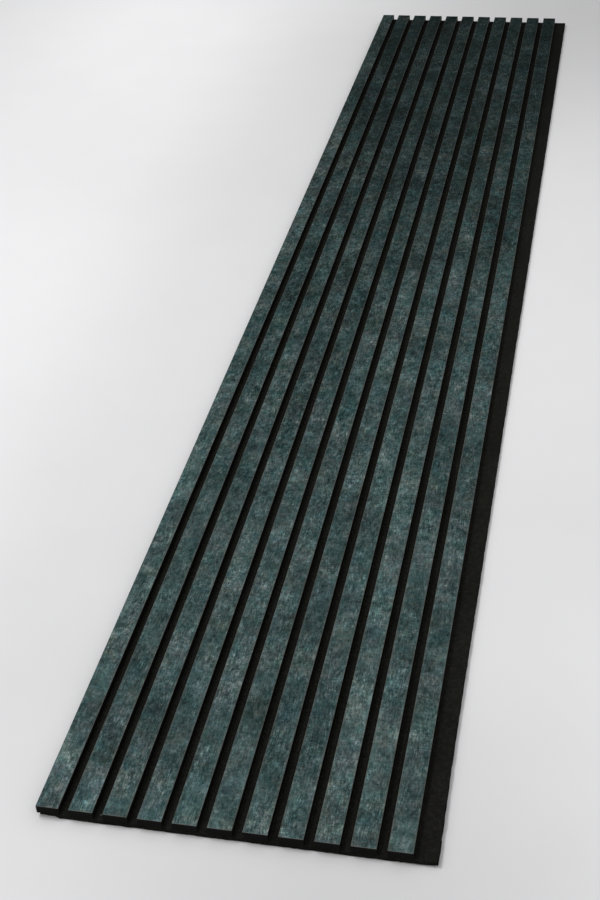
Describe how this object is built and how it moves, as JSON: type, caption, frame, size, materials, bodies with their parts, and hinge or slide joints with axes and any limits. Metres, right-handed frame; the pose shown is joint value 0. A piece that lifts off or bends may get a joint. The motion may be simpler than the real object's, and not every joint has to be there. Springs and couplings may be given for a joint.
{
  "type": "acoustic slat wall panel",
  "caption": "Long wall panel of parallel decor-faced fibreboard slats stapled to a black felt sheet that runs on past the last slat.",
  "frame": {"origin": "middle of the felt's back, the face that lies on the wall or floor", "axes": "+Z out of the wall towards the decor, +Y along the slats, +X across them towards the bare felt margin"},
  "size_m": [0.4514, 2.6, 0.017],
  "materials": {
    "felt": "pressed fibre felt",
    "black_board": "black-dyed fibreboard, sawn sides",
    "decor": "mottled teal decor film, satin",
    "staple_wire": "galvanised wire"
  },
  "bodies": {
    "root": {"felt_backing": "felt", "slat_core_01": "black_board", "slat_face_01": "decor", "slat_core_02": "black_board", "slat_face_02": "decor", "slat_core_03": "black_board", "slat_face_03": "decor", "slat_core_04": "black_board", "slat_face_04": "decor", "slat_core_05": "black_board", "slat_face_05": "decor", "slat_core_06": "black_board", "slat_face_06": "decor", "slat_core_07": "black_board", "slat_face_07": "decor", "slat_core_08": "black_board", "slat_face_08": "decor", "slat_core_09": "black_board", "slat_face_09": "decor", "slat_core_10": "black_board", "slat_face_10": "decor", "slat_core_11": "black_board", "slat_face_11": "decor", "staples": "staple_wire"}
  },
  "joints": []
}
